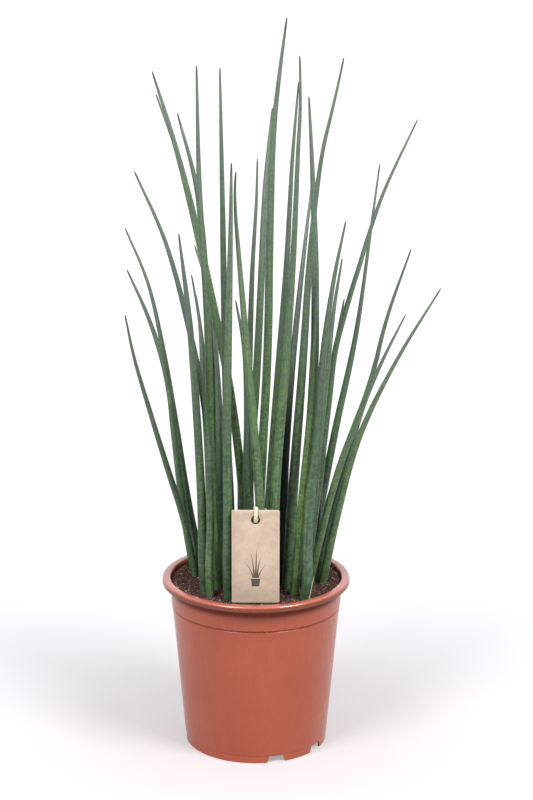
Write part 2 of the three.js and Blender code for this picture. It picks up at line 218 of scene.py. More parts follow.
def blended(tree, share, first, second, blend_type="MIX"):
    """Mixes two colours."""
    sockets = {0: share, 6: first, 7: second}
    return add(tree, "ShaderNodeMix", sockets, data_type="RGBA", blend_type=blend_type).outputs[2]


def new_group(name, kind, inputs, outputs):
    """A node group. Each socket is given as its kind or, for a number, as its first value."""
    tree = bpy.data.node_groups.new(name, kind)
    for in_out, sockets in (("INPUT", inputs), ("OUTPUT", outputs)):
        for label, value in sockets.items():
            sort = {float: "Float", int: "Int"}.get(type(value), value)
            socket = tree.interface.new_socket(label, in_out=in_out, socket_type="NodeSocket" + sort)
            if sort != value:
                socket.default_value = value
    return tree, tree.nodes.new("NodeGroupInput"), tree.nodes.new("NodeGroupOutput")


def realized(tree, body, given, result):
    """Ends a geometry tree: real faces with the given material."""
    body = made(tree, "GeometryNodeRealizeInstances", {"Geometry": body})
    body = made(tree, "GeometryNodeSetMaterial",
                {"Geometry": body, "Material": given.outputs["Material"]})
    tree.links.new(body, result.inputs["Geometry"])


def linear(red, green, blue):
    """A colour from its 0-255 screen values."""
    def channel(value):
        share = value / 255
        return share / 12.92 if share <= 0.04045 else ((share + 0.055) / 1.055) ** 2.4
    return (channel(red), channel(green), channel(blue), 1.0)


# Building blocks for pieces

def evaluated_mesh(piece):
    depsgraph = bpy.context.evaluated_depsgraph_get()
    return bpy.data.meshes.new_from_object(piece.evaluated_get(depsgraph))


def in_scene(name, data):
    piece = bpy.data.objects.new(name, data)
    bpy.context.scene.collection.objects.link(piece)
    return piece


def shaped(name, mesh):
    """A new piece from an edited mesh."""
    data = bpy.data.meshes.new(name)
    mesh.to_mesh(data)
    mesh.free()
    return in_scene(name, data)


def grown(name, source, tree, **values):
    """The plain mesh object that a geometry tree makes from a mesh."""
    piece = in_scene(name, source)
    modifier = piece.modifiers.new(tree.name, "NODES")
    modifier.node_group = tree
    for item in tree.interface.items_tree:
        if item.item_type == "SOCKET" and item.in_out == "INPUT" and item.name in values:
            modifier[item.identifier] = values[item.name]
    mesh = evaluated_mesh(piece)
    bpy.data.objects.remove(piece)
    bpy.data.meshes.remove(source)
    mesh.name = name
    return in_scene(name, mesh)


def applied(piece):
    """Turns a piece with modifiers into the plain mesh that they make."""
    mesh = evaluated_mesh(piece)
    piece.modifiers.clear()
    piece.data = mesh


def dressed(piece, finish, sharp_from):
    """Gives a piece its finish and smooth shading, except at edges sharper than an angle in degrees."""
    piece.data.materials.clear()
    piece.data.materials.append(finish)
    piece.data.shade_smooth()
    piece.data.set_sharp_from_angle(angle=math.radians(sharp_from))


def declared(piece, slot, *nodes):
    """Says which body a piece rides on and which solid it stands for; the slot, what it is made of, is not
    used.
    """
    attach(piece, "root")
    if nodes:
        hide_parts(*nodes)


# Shader groups that several finishes share

def mottle_group():
    """Soft blotches of a given size in millimetres."""
    tree, given, result = new_group(
        "mottle", "ShaderNodeTree", {"Place": "Vector", "Size": 5.0, "Low": 0.35, "High": 0.65},
        {"Mask": "Float"})
    scale = maths(tree, "DIVIDE", 1 / MM, given.outputs["Size"])
    cloud = add(tree, "ShaderNodeTexNoise",
                {"Vector": given.outputs["Place"], "Scale": scale, "Detail": 4.0, "Roughness": 0.6})
    mask = spread(tree, cloud.outputs["Fac"], given.outputs["Low"], given.outputs["High"])
    tree.links.new(mask, result.inputs["Mask"])
    return tree


def fibres_group():
    """Streaks that run lengthwise on a piece whose place is stored as (round, round, along)."""
    tree, given, result = new_group(
        "fibres", "ShaderNodeTree",
        {"Place": "Vector", "Around": 5.0, "Along": 10.0, "Low": 0.35, "High": 0.65},
        {"Mask": "Float"})
    around = given.outputs["Around"]
    stretch = made(tree, "ShaderNodeCombineXYZ", {0: around, 1: around, 2: given.outputs["Along"]})
    place = vector_maths(tree, "MULTIPLY", given.outputs["Place"], stretch)
    cloud = add(tree, "ShaderNodeTexNoise",
                {"Vector": place, "Scale": 1.0, "Detail": 3.0, "Roughness": 0.55})
    mask = spread(tree, cloud.outputs["Fac"], given.outputs["Low"], given.outputs["High"])
    tree.links.new(mask, result.inputs["Mask"])
    return tree


MOTTLE = mottle_group()
FIBRES = fibres_group()


def mask_from(tree, group, place, **values):
    """The mask that a shader group makes at a place from its own values."""
    sockets = {"Place": place, **values}
    return add(tree, "ShaderNodeGroup", sockets, node_tree=group).outputs["Mask"]


def mottle(tree, place, size, low=0.35, high=0.65):
    return mask_from(tree, MOTTLE, place, Size=size, Low=low, High=high)


def fibres(tree, place, around, along, low, high):
    return mask_from(tree, FIBRES, place, Around=around, Along=along, Low=low, High=high)


def new_finish(name, **shader_values):
    """A material with one Principled shader. Its constant values sit on the shader's own sockets."""
    material = bpy.data.materials.new(name)
    material.use_nodes = True
    tree = material.node_tree
    shader = tree.nodes["Principled BSDF"]
    for label, value in shader_values.items():
        shader.inputs[label.replace("_", " ")].default_value = value
    return material, tree, shader


def feed(shader, label, value):
    shader.id_data.links.new(value, shader.inputs[label])


def object_place(tree):
    return add(tree, "ShaderNodeTexCoord").outputs["Object"]


def attribute(tree, name, output="Fac"):
    return add(tree, "ShaderNodeAttribute", attribute_name=name).outputs[output]


def bumped(tree, shader, height, strength, distance):
    sockets = {"Height": height, "Strength": strength, "Distance": distance * MM}
    feed(shader, "Normal", made(tree, "ShaderNodeBump", sockets))


# Finishes

def grey_of(tree, value):
    return made(tree, "ShaderNodeCombineColor", {0: value, 1: value, 2: value})


def shaded(tree, colour, value):
    """Multiplies a colour by a grey value."""
    return blended(tree, 1.0, colour, grey_of(tree, value), "MULTIPLY")


def tinted(tree, colour, mask, amount, tint):
    """Tints a colour where the mask is, by up to the amount. The tint is in 0-255 screen values."""
    return blended(tree, times(tree, mask, amount), colour, linear(*tint))


def ramp(tree, share, *stops):
    """A colour ramp from (position, colour) stops."""
    node = add(tree, "ShaderNodeValToRGB", {"Fac": share})
    elements = node.color_ramp.elements
    for element, (position, colour) in zip(elements, (stops[0], stops[-1])):
        element.position = position
        element.color = colour
    for position, colour in stops[1:-1]:
        elements.new(position).color = colour
    return node.outputs["Color"]


def leaf_finish():
    """Tough green leaf skin: pale and dark cross bands, long streaks, and a dry grey-brown tip."""
    material, tree, shader = new_finish("snake plant leaf", IOR=1.45)
    place = attribute(tree, "leaf_place", "Vector")
    tone = attribute(tree, "leaf_tone")
    share = attribute(tree, "leaf_share")
    shift = made(tree, "ShaderNodeCombineXYZ", {2: times(tree, tone, 37.0)})
    own = vector_maths(tree, "ADD", place, shift)

    # Painted shade and light: the green goes darker or paler with each leaf's tone, which also stands for
    # the shade on it
    green = ramp(tree, tone, (0.0, linear(12, 15, 12)), (0.3, linear(50, 68, 47)),
                 (0.65, linear(74, 102, 66)), (1.0, linear(97, 128, 72)))
    blue_side = fibres(tree, own, 1.1, 4.0, 0.42, 0.60)
    lit = spread(tree, tone, 0.0, 0.3)
    green = tinted(tree, green, times(tree, blue_side, lit), 0.5, (70, 92, 84))
    yellow_streak = fibres(tree, own, 1.7, 7.0, 0.50, 0.66)
    green = tinted(tree, green, times(tree, yellow_streak, tone), 0.6, (102, 128, 62))
    bands = fibres(tree, own, 0.9, 330.0, 0.44, 0.56)
    wide_bands = fibres(tree, own, 0.6, 85.0, 0.42, 0.58)
    both = maths(tree, "ADD", times(tree, bands, 0.6), times(tree, wide_bands, 0.4))
    green = shaded(tree, green, spread(tree, both, 0.0, 1.0, 0.66, 1.22))
    lines = fibres(tree, own, 7.0, 5.0, 0.32, 0.54)
    green = shaded(tree, green, spread(tree, lines, 0.0, 1.0, 0.6, 1.1))
    greyer = times(tree, spread(tree, share, 0.35, 1.0, 0.0, 0.6), lit)
    green = blended(tree, greyer, green, linear(107, 120, 109))
    tip = spread(tree, share, 0.955, 0.995)
    green = blended(tree, tip, green, linear(74, 62, 58))
    feed(shader, "Base Color", green)

    feed(shader, "Roughness", spread(tree, both, 0.0, 1.0, 0.5, 0.38))
    feed(shader, "Specular IOR Level", spread(tree, tone, 0.0, 0.3, 0.12, 0.5))
    bumped(tree, shader, lines, 0.45, 0.15)
    return material


def layer(tree, height, start, full, fading, end, strength=1.0):
    """A soft band between two heights, which grows from start to full and goes from fading to end."""
    grows = spread(tree, height, start, full)
    return times(tree, grows, spread(tree, height, fading, end, strength, 0.0))


def pot_finish():
    """Satin brick-red moulded plastic with faint flow marks, scuffs, soil dust, painted shade at the lip
    and groove and a painted reflection on the lip top.
    """
    material, tree, shader = new_finish("brick red pot plastic", IOR=1.52,
                                        Coat_Roughness=0.14, Coat_IOR=1.6)
    place = object_place(tree)
    flow = made(tree, "ShaderNodeMapping", {"Vector": place, "Scale": (1.0, 1.0, 0.08)})
    clouds = mottle(tree, place, 55, 0.3, 0.7)
    marks = mottle(tree, flow, 3, 0.35, 0.7)
    red = blended(tree, clouds, linear(173, 80, 51), linear(179, 86, 57))
    red = tinted(tree, red, marks, 0.25, (166, 76, 49))
    scuffs = times(tree, mottle(tree, flow, 1.4, 0.62, 0.72), mottle(tree, place, 24, 0.5, 0.7))
    red = tinted(tree, red, scuffs, 0.35, (176, 112, 94))
    red = tinted(tree, red, mottle(tree, place, 0.9, 0.70, 0.74), 0.3, (190, 138, 122))
    height = maths(tree, "DIVIDE", add(tree, "ShaderNodeSeparateXYZ", {0: place}).outputs[2], MM)
    lip = POT_HEIGHT - RIM_DROP
    # Painted shade: a patchy dark red-brown band under the lip and a fainter line in the groove, where the
    # lip and the groove shade the wall; the wall is also less glossy there
    under_lip = layer(tree, height, lip - 12, lip - 5, lip, lip + 0.5)
    in_groove = layer(tree, height, GROOVE_HEIGHT - 1.6, GROOVE_HEIGHT - 0.8,
                      GROOVE_HEIGHT + 1.2, GROOVE_HEIGHT + 2, 0.3)
    thickness = spread(tree, mottle(tree, place, 6, 0.2, 0.8), 0.0, 1.0, 0.4, 0.6)
    painted_shade = maths(tree, "ADD", times(tree, under_lip, thickness), in_groove, clamp=True)
    # Painted shade under the lip and in the groove
    red = blended(tree, painted_shade, red, linear(98, 34, 22))
    dull = maths(tree, "ADD", times(tree, under_lip, 0.5), in_groove)
    feed(shader, "Specular IOR Level", spread(tree, dull, 0.0, 0.5, 0.5, 0.12))
    # Painted shade: the band round the lip, from its lower edge up to near its top, is darkened to less
    # than half its colour
    painted_lip_shade = layer(tree, height, lip, lip + 1, lip + 3, lip + 5)
    red = shaded(tree, red, spread(tree, painted_lip_shade, 0.0, 1.0, 1.0, 0.42))
    # Painted reflection: the lip's flat top is tinted a paler pink-grey, as the white room looks in it
    painted_lip_reflection = spread(tree, height, POT_HEIGHT - 0.8, POT_HEIGHT - 0.2)
    red = tinted(tree, red, painted_lip_reflection, 0.6, (164, 94, 88))
    feed(shader, "Coat Weight", spread(tree, height, POT_HEIGHT - 2, POT_HEIGHT - 0.4, 0.0, 0.9))
    feed(shader, "Base Color", red)
    rough = spread(tree, marks, 0.0, 1.0, 0.22, 0.3)
    feed(shader, "Roughness", maths(tree, "ADD", rough, times(tree, scuffs, 0.2)))
    bumped(tree, shader, mottle(tree, place, 0.7, 0.2, 0.8), 0.1, 0.05)
    return material


def soil_finish():
    """Dark red-brown peat with paler grit, fibres and damp hollows."""
    material, tree, shader = new_finish("peat soil", IOR=1.4)
    place = object_place(tree)
    earth = blended(tree, mottle(tree, place, 5), linear(44, 25, 22), linear(82, 50, 44))
    earth = blended(tree, mottle(tree, place, 1.2, 0.45, 0.62), earth, linear(30, 16, 15))
    earth = tinted(tree, earth, mottle(tree, place, 0.9, 0.54, 0.6), 0.6, (122, 82, 74))
    grit = mottle(tree, place, 0.8, 0.62, 0.66)
    earth = tinted(tree, earth, grit, 0.8, (176, 148, 138))
    feed(shader, "Base Color", earth)
    feed(shader, "Roughness", spread(tree, grit, 0.0, 1.0, 0.95, 0.7))
    bumped(tree, shader, mottle(tree, place, 1.1, 0.2, 0.8), 0.9, 0.7)
    return material


def crumb_finish():
    """Loose crumbs: mostly dark peat, some reddish bark, a few pale grains."""
    material, tree, shader = new_finish("peat crumbs", IOR=1.4)
    tone = attribute(tree, "crumb_tone")
    colour = ramp(tree, tone, (0.0, linear(36, 20, 18)), (0.45, linear(62, 36, 31)),
                  (0.72, linear(98, 58, 48)), (0.86, linear(138, 96, 84)),
                  (0.93, linear(178, 148, 136)), (1.0, linear(210, 190, 178)))
    spots = mottle(tree, object_place(tree), 0.6, 0.3, 0.7)
    colour = shaded(tree, colour, spread(tree, spots, 0.0, 1.0, 0.7, 1.1))
    feed(shader, "Base Color", colour)
    feed(shader, "Roughness", spread(tree, spots, 0.0, 1.0, 0.95, 0.8))
    return material


# Camera, floor and light

def camera_and_light():
    camera_data = bpy.data.cameras.new("camera")
    camera_data.lens = CAMERA_LENS
    camera_data.sensor_width = CAMERA_SENSOR
    camera_data.clip_end = 100
    camera = in_scene("camera", camera_data)
    camera.location = CAMERA_PLACE
    camera.rotation_euler = (math.pi / 2 - CAMERA_DOWN, CAMERA_ROLL, CAMERA_TURN)
    bpy.context.scene.camera = camera
    bpy.context.scene.view_settings.view_transform = "Standard"

    world = bpy.data.worlds.new("white studio")
    bpy.context.scene.world = world
    world.use_nodes = True
    tree = world.node_tree
    background = tree.nodes["Background"]
    background.inputs["Color"].default_value = (1.0, 1.0, 1.0, 1.0)
    soft = add(tree, "ShaderNodeLightPath").outputs["Is Diffuse Ray"]
    tree.links.new(spread(tree, soft, 0.0, 1.0, WHITE_ROOM, ROOM_FILL), background.inputs["Strength"])
    for name, place, size, power in SOFTBOXES:
        light_data = bpy.data.lights.new(name, "AREA")
        light_data.shape = "SQUARE"
        light_data.size = size
        light_data.energy = power
        light = in_scene(name, light_data)
        light.location = place
        light.rotation_euler = (LIGHT_AIM - light.location).to_track_quat("-Z", "Y").to_euler()


def floor_finish():
    """White studio floor that brightens into the background. Its glow lights nothing but itself."""
    material, tree, shader = new_finish("white floor", Roughness=0.9, Specular_IOR_Level=0.2)
    away = vector_maths(tree, "LENGTH", object_place(tree))
    # Painted shade and painted reflected pot colour: the floor is a little darker and pinker near the pot
    near = spread(tree, away, 0.1, 0.4)
    paper = blended(tree, near, linear(160, 154, 157), linear(162, 160, 167))
    feed(shader, "Base Color", paper)
    shader.inputs["Emission Strength"].default_value = 1.0
    share = maths(tree, "MULTIPLY", away, 1 / FLOOR_FADE, clamp=True)
    risen = maths(tree, "POWER", share, FLOOR_CURVE)
    glow = maths(tree, "MULTIPLY_ADD", risen, 1 - FLOOR_GLOW, FLOOR_GLOW)
    seen = maths(tree, "SUBTRACT", 1.0, add(tree, "ShaderNodeLightPath").outputs["Is Diffuse Ray"])
    glow = times(tree, glow, seen)
    feed(shader, "Emission Color", grey_of(tree, glow))
    return material


def floor():
    mesh = bmesh.new()
    bmesh.ops.create_circle(mesh, cap_ends=True, segments=96, radius=FLOOR_RADIUS)
    piece = shaped("floor", mesh)
    piece.data.materials.append(floor_finish())


# Pot

def rounded(corners):
    """An outline of (x, z, radius) corners, each rounded by an arc of about that radius."""
    outline = []
    for index, (x, z, radius) in enumerate(corners):
        here = Vector((x, z))
        if radius == 0:
            outline.append(here)
            continue
        before = Vector(corners[index - 1][:2]) - here
        after = Vector(corners[index + 1][:2]) - here
        reach = min(radius, before.length * 0.49, after.length * 0.49)
        start = here + before.normalized() * reach
        end = here + after.normalized() * reach
        for step in range(ROUNDING_STEPS + 1):
            t = step / ROUNDING_STEPS
            outline.append(start * (1 - t) ** 2 + here * 2 * t * (1 - t) + end * t ** 2)
    return [(point.x, point.y) for point in outline]


def turned(name, outline):
    """A closed body: an outline of (radius, height) in millimetres turned round the Z axis."""
    mesh = bmesh.new()
    corners = [mesh.verts.new((radius * MM, 0, height * MM)) for radius, height in outline]
    edges = [mesh.edges.new(pair) for pair in zip(corners, corners[1:])]
    bmesh.ops.spin(mesh, geom=corners + edges, cent=(0, 0, 0), axis=(0, 0, 1),
                   angle=2 * math.pi, steps=POT_STEPS, use_merge=True)
    bmesh.ops.remove_doubles(mesh, verts=mesh.verts, dist=1e-6)
    bmesh.ops.recalc_face_normals(mesh, faces=mesh.faces)
    return shaped(name, mesh)


def inner_wall_radius(height):
    """The wall widens steadily up to its shoulder and then a little more up to the lip."""
    if height < SHOULDER_HEIGHT:
        share = (height - FOOT_HEIGHT) / (SHOULDER_HEIGHT - FOOT_HEIGHT)
        return BODY_BOTTOM_RADIUS + share * (SHOULDER_RADIUS - BODY_BOTTOM_RADIUS) - WALL
    share = (height - SHOULDER_HEIGHT) / (POT_HEIGHT - RIM_DROP - SHOULDER_HEIGHT)
    return SHOULDER_RADIUS + share * (COLLAR_TOP_RADIUS - SHOULDER_RADIUS) - WALL


def pot_outline():
    """The pot's section, from the middle of its underside round the outside to the inside."""
    floor_top = FOOT_HEIGHT + FLOOR_THICKNESS
    lip_bottom = POT_HEIGHT - RIM_DROP
    lip_hollow = POT_HEIGHT - WALL
    return rounded([
        (0, 0, 0),
        (PAD_RADIUS, 0, 1),
        (PAD_RADIUS + PAD_SLOPE, FOOT_HEIGHT, 1.5),
        (FOOT_RADIUS - WALL, FOOT_HEIGHT, 1),
        (FOOT_RADIUS - WALL, 0, 0.4),
        (FOOT_RADIUS, 0, 0.5),
        (FOOT_RADIUS, FOOT_HEIGHT - 0.3, 0.3),
        (BODY_BOTTOM_RADIUS, FOOT_HEIGHT + 0.2, 0.4),
        (SHOULDER_RADIUS, SHOULDER_HEIGHT, 4),
        (BODY_TOP_RADIUS, GROOVE_HEIGHT - 1, 0.7),
        (BODY_TOP_RADIUS - GROOVE_DEPTH, GROOVE_HEIGHT - 0.4, 0.3),
        (BODY_TOP_RADIUS - GROOVE_DEPTH, GROOVE_HEIGHT + 0.3, 0.3),
        (COLLAR_BOTTOM_RADIUS, GROOVE_HEIGHT + 0.9, 0.8),
        (COLLAR_TOP_RADIUS, lip_bottom - 0.6, 1.5),
        (COLLAR_TOP_RADIUS + 0.8, lip_hollow - 1.4, 0.8),
        (RIM_RADIUS - WALL, lip_hollow - 1, 0.8),
        (RIM_RADIUS - WALL, lip_bottom, 0.8),
        (RIM_RADIUS, lip_bottom, 1.1),
        (RIM_RADIUS, POT_HEIGHT, 2.8),
        (RIM_INNER_RADIUS - 0.9, POT_HEIGHT, 1.6),
        (inner_wall_radius(lip_bottom) + 0.4, lip_bottom + 2, 2),
        (inner_wall_radius(lip_bottom), lip_bottom - 1, 2),
        (inner_wall_radius(SHOULDER_HEIGHT), SHOULDER_HEIGHT, 4),
        (inner_wall_radius(floor_top), floor_top, 1.5),
        (PAD_RADIUS + PAD_SLOPE - WALL, floor_top, 1),
        (PAD_RADIUS - WALL, FLOOR_THICKNESS, 1),
        (0, FLOOR_THICKNESS, 0),
    ])


def notch_cutter(mesh, angle):
    """A trapezoid prism through the foot ring, from a millimetre under it."""
    slope = (NOTCH_BOTTOM_WIDTH - NOTCH_TOP_WIDTH) / 2 / NOTCH_HEIGHT
    low = NOTCH_BOTTOM_WIDTH / 2 + slope
    high = NOTCH_TOP_WIDTH / 2
    section = [(-low, -1), (low, -1), (high, NOTCH_HEIGHT), (-high, NOTCH_HEIGHT)]
    turn = math.radians(angle)
    out = Vector((math.cos(turn), math.sin(turn), 0))
    side = Vector((-math.sin(turn), math.cos(turn), 0))
    rings = []
    for radius in (FOOT_RADIUS - NOTCH_REACH, FOOT_RADIUS + NOTCH_REACH):
        places = [out * radius + side * x + Vector((0, 0, z)) for x, z in section]
        rings.append([mesh.verts.new(place * MM) for place in places])
    inner, outer = rings
    mesh.faces.new(inner)
    mesh.faces.new(outer[::-1])
    for index in range(4):
        after = (index + 1) % 4
        mesh.faces.new((inner[after], inner[index], outer[index], outer[after]))


def drain_cutter(mesh, index):
    angle = 2 * math.pi * (index + 0.5) / DRAIN_HOLES
    centre = Vector((math.cos(angle), math.sin(angle), 0)) * DRAIN_CIRCLE_RADIUS
    centre.z = FOOT_HEIGHT + FLOOR_THICKNESS / 2
    cone = bmesh.ops.create_cone(mesh, cap_ends=True, segments=32, radius1=DRAIN_RADIUS * MM,
                                 radius2=DRAIN_RADIUS * MM, depth=DRAIN_CUT * MM)
    bmesh.ops.translate(mesh, verts=cone["verts"], vec=centre * MM)


def in_order(mesh):
    """Puts the faces of a cut mesh in a set order, each from its first corner, alike in every run."""
    faces = []
    for face in mesh.polygons:
        corners = list(face.vertices)
        first = corners.index(min(corners))
        faces.append(corners[first:] + corners[:first])
    places = [tuple(vertex.co) for vertex in mesh.vertices]
    mesh.clear_geometry()
    mesh.from_pydata(places, [], sorted(faces))


def cut_away(piece, cutters):
    """Cuts the shapes in the mesh cutters out of a piece."""
    bmesh.ops.recalc_face_normals(cutters, faces=cutters.faces)
    tool = shaped("cutters", cutters)
    modifier = piece.modifiers.new("cut", "BOOLEAN")
    modifier.operation = "DIFFERENCE"
    modifier.object = tool
    modifier.solver = "MANIFOLD"
    applied(piece)
    in_order(piece.data)
    bpy.data.objects.remove(tool)


def pot():
    piece = turned("nursery_pot", pot_outline())
    cutters = bmesh.new()
    for angle in NOTCH_ANGLES:
        notch_cutter(cutters, angle)
    for index in range(DRAIN_HOLES):
        drain_cutter(cutters, index)
    cut_away(piece, cutters)
    dressed(piece, pot_finish(), 35)
    declared(piece, "pot_plastic", "pot")


# Leaves

def leaf_rings(node):
    """A packed leaf's rings of corners from the buried end to the tip, in metres."""
    mesh = bmesh.new()
    mesh.from_mesh(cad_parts[node].data)
    bmesh.ops.remove_doubles(mesh, verts=mesh.verts, dist=2e-5)
    corners = np.array([vertex.co for vertex in mesh.verts])
    mesh.free()
    return corners[np.argsort(corners[:, 2])].reshape(-1, LEAF_CORNERS, 3)


def between(start, leaving, end, arriving, t):
    """A smooth step from start to end, with the slopes that it leaves and arrives with."""
    return (start * (2 * t ** 3 - 3 * t ** 2 + 1) + leaving * (t ** 3 - 2 * t ** 2 + t)
            + end * (3 * t ** 2 - 2 * t ** 3) + arriving * (t ** 3 - t ** 2))


def smooth(values, stations, fine):
    """Passes a smooth curve through the values at the stations and reads it at the fine ones."""
    slopes = np.gradient(values, stations, axis=0)
    at = np.clip(np.searchsorted(stations, fine, side="right") - 1, 0, len(stations) - 2)
    step = stations[at + 1] - stations[at]
    t = (fine - stations[at]) / step
    if values.ndim > 1:
        step = step[:, None]
        t = t[:, None]
    return between(values[at], slopes[at] * step, values[at + 1], slopes[at + 1] * step, t)


def leaf_path(node):
    """A fine middle line for a leaf: places, girths, the channel's side and reach above the soil."""
    rings = leaf_rings(node)
    centres = rings.mean(axis=1)
    reaches = np.linalg.norm(rings - centres[:, None], axis=2)
    girths = 2 * reaches.max(axis=1)
    hollow = rings[np.arange(len(rings)), reaches.argmin(axis=1)]
    ways = hollow[0] - centres[0]
    steps = np.linalg.norm(np.diff(centres, axis=0), axis=1)
    stations = np.concatenate([[0], np.cumsum(steps)])
    share = 1 - (1 - np.linspace(0, 1, LEAF_STATIONS)) ** LEAF_CROWDING
    fine = share * stations[-1]
    places = smooth(centres, stations, fine)
    girth = smooth(girths, stations, fine)
    end = np.clip((stations[-1] - fine) / (TIP_LENGTH * MM), 0, 1)
    girth *= TIP_POINT + (1 - TIP_POINT) * np.sqrt(end * (2 - end))
    soil_at = np.interp(SOIL_LEVEL * MM, places[:, 2], fine)
    return places, girth, ways / np.linalg.norm(ways), fine - soil_at


def path_mesh(name, places, closed=False, **values):
    """A line of edges with a named value or direction on each point."""
    count = len(places)
    edges = [(index, index + 1) for index in range(count - 1)]
    if closed:
        edges.append((count - 1, 0))
    mesh = bpy.data.meshes.new(name)
    mesh.from_pydata([tuple(place) for place in places], edges, [])
    for label, numbers in values.items():
        numbers = np.asarray(numbers, dtype=np.float32)
        kind, field = ("FLOAT_VECTOR", "vector") if numbers.ndim == 2 else ("FLOAT", "value")
        mesh.attributes.new(label, kind, "POINT").data.foreach_set(field, numbers.ravel())
    return mesh


def sweep_tree():
    """Grows a round, channelled and furrowed body along a line of points."""
    tree, given, result = new_group(
        "body along a line", "GeometryNodeTree",
        {"Geometry": "Geometry", "Sides": 24, "Flatness": 1.0, "Channel depth": 0.1,
         "Furrow depth": 0.03, "Seed": 0.0, "Material": "Material"},
        {"Geometry": "Geometry"})

    def named(name, kind="FLOAT"):
        node = add(tree, "GeometryNodeInputNamedAttribute", {"Name": name}, data_type=kind)
        return node.outputs["Attribute"]

    def stored(geometry, name, value):
        sockets = {"Geometry": geometry, "Name": name, "Value": value}
        return made(tree, "GeometryNodeStoreNamedAttribute", sockets, data_type="FLOAT_VECTOR",
                    domain="POINT")

    line = made(tree, "GeometryNodeMeshToCurve", {0: given.outputs["Geometry"]})
    line = made(tree, "GeometryNodeSetCurveNormal",
                {"Curve": line, "Normal": named("facing", "FLOAT_VECTOR")}, mode="FREE")
    circle = made(tree, "GeometryNodeCurvePrimitiveCircle",
                  {"Resolution": given.outputs["Sides"], "Radius": 1.0})
    position = made(tree, "GeometryNodeInputPosition")
    circle = stored(circle, "around", position)
    flat = made(tree, "ShaderNodeCombineXYZ", {0: given.outputs["Flatness"], 1: 1.0, 2: 1.0})
    flat = vector_maths(tree, "MULTIPLY", position, flat)
    circle = made(tree, "GeometryNodeSetPosition", {"Geometry": circle, "Position": flat})
    radius = times(tree, named("girth"), 0.5)
    body = made(tree, "GeometryNodeCurveToMesh",
                {"Curve": line, "Profile Curve": circle, "Scale": radius, "Fill Caps": True})

    around = add(tree, "ShaderNodeSeparateXYZ", {0: named("around", "FLOAT_VECTOR")})
    place = made(tree, "ShaderNodeCombineXYZ",
                 {0: around.outputs[0], 1: around.outputs[1], 2: named("reach")})
    body = stored(body, "leaf_place", place)

    channel = spread(tree, around.outputs[0], 0.80, 1.0)
    channel = times(tree, channel, given.outputs["Channel depth"])
    stretch = vector_maths(tree, "MULTIPLY", place, (2.6, 2.6, 3.0))
    shift = made(tree, "ShaderNodeCombineXYZ", {2: given.outputs["Seed"]})
    moved = vector_maths(tree, "ADD", stretch, shift)
    wave = add(tree, "ShaderNodeTexNoise", {"Vector": moved, "Scale": 1.0, "Detail": 1.0})
    furrows = spread(tree, wave.outputs["Fac"], 0.35, 0.62, 1.0, 0.0)
    furrows = times(tree, furrows, given.outputs["Furrow depth"])
    depth = times(tree, maths(tree, "ADD", channel, furrows), radius)
    normal = made(tree, "GeometryNodeInputNormal")
    sink = scaled(tree, normal, times(tree, depth, -1.0))
    body = made(tree, "GeometryNodeSetPosition", {"Geometry": body, "Offset": sink})
    body = made(tree, "GeometryNodeSetShadeSmooth", {"Geometry": body})
    realized(tree, body, given, result)
    return tree


def leaf_pieces(tree):
    finish = leaf_finish()
    tones = np.random.default_rng(TONE_SEED).uniform(*BACK_TONES, 100)
    for name in LEAF_NODES:
        number = int(name[-2:])
        places, girths, facing, reach = leaf_path(name)
        share = np.clip(reach / reach[-1], 0, 1)
        # Each leaf's tone from foot to top, with painted shade and light in it
        tone = np.interp(share, TONE_CHANGE, LEAF_TONES_AND_SHADES.get(number, (tones[number], tones[number])))
        line = path_mesh(name + "_line", places, girth=girths, reach=reach, leaf_share=share,
                         leaf_tone=tone, facing=np.tile(facing, (len(places), 1)))
        piece = grown(f"snake_{name}", line, tree, **{
            "Sides": LEAF_SIDES, "Channel depth": LEAF_CHANNEL, "Furrow depth": LEAF_FURROWS,
            "Seed": number * 1.7, "Material": finish})
        declared(piece, "leaf", name)


# Soil

def soil_height(x, y):
    """How high the soil stands at a place, in millimetres: the packed soil's lumps and fine crumbs."""
    lumps = math.sin(x / 8.5 + 1) * math.cos(y / 10.5) + 0.7 * math.sin((x - y) / 13 + 2)
    near_tag = abs(x) < TAG_WIDTH / 2 + TAG_PATCH and abs(y - TAG_CENTRE.y) < TAG_PATCH
    share = (math.hypot(x, y) - RISE_START_RADIUS) / (RISE_END_RADIUS - RISE_START_RADIUS)
    share = min(max(share, 0), 1)
    rise = share * share * (3 - 2 * share)
    fine = noise.fractal(Vector((x, y, 3)) / 4, 0.6, 2.0, 4)
    lumps = 0 if near_tag else 1.2 * (1 - 0.5 * rise) * lumps
    return SOIL_LEVEL + SOIL_RISE * rise + lumps + (0.25 if near_tag else 0.8) * fine


def soil():
    """Fills the pot up to its lumpy top, just clear of the floor and the wall."""
    fit = 1.5 * SOIL_GAP
    floor_top = FOOT_HEIGHT + FLOOR_THICKNESS + SOIL_GAP
    pad_top = PAD_RADIUS + PAD_SLOPE - WALL - fit
    edge = inner_wall_radius(SOIL_LEVEL + SOIL_RISE - 2) - fit
    outline = [(0, FLOOR_THICKNESS + SOIL_GAP), (pad_top - PAD_SLOPE, FLOOR_THICKNESS + SOIL_GAP),
               (pad_top, floor_top), (inner_wall_radius(floor_top) - fit, floor_top)]
    outline += [(edge * step / SOIL_RINGS, SOIL_LEVEL) for step in range(SOIL_RINGS, -1, -1)]
    piece = turned("peat_soil", outline)
    for vertex in piece.data.vertices:
        if vertex.co.z > (SOIL_LEVEL - 1) * MM:
            vertex.co.z = soil_height(vertex.co.x / MM, vertex.co.y / MM) * MM
    cutters = bmesh.new()
    for name in LEAF_NODES:
        leaf_hole(cutters, name)
    cut_away(piece, cutters)
    dressed(piece, soil_finish(), 60)
    declared(piece, "potting_soil", "soil")
    return piece


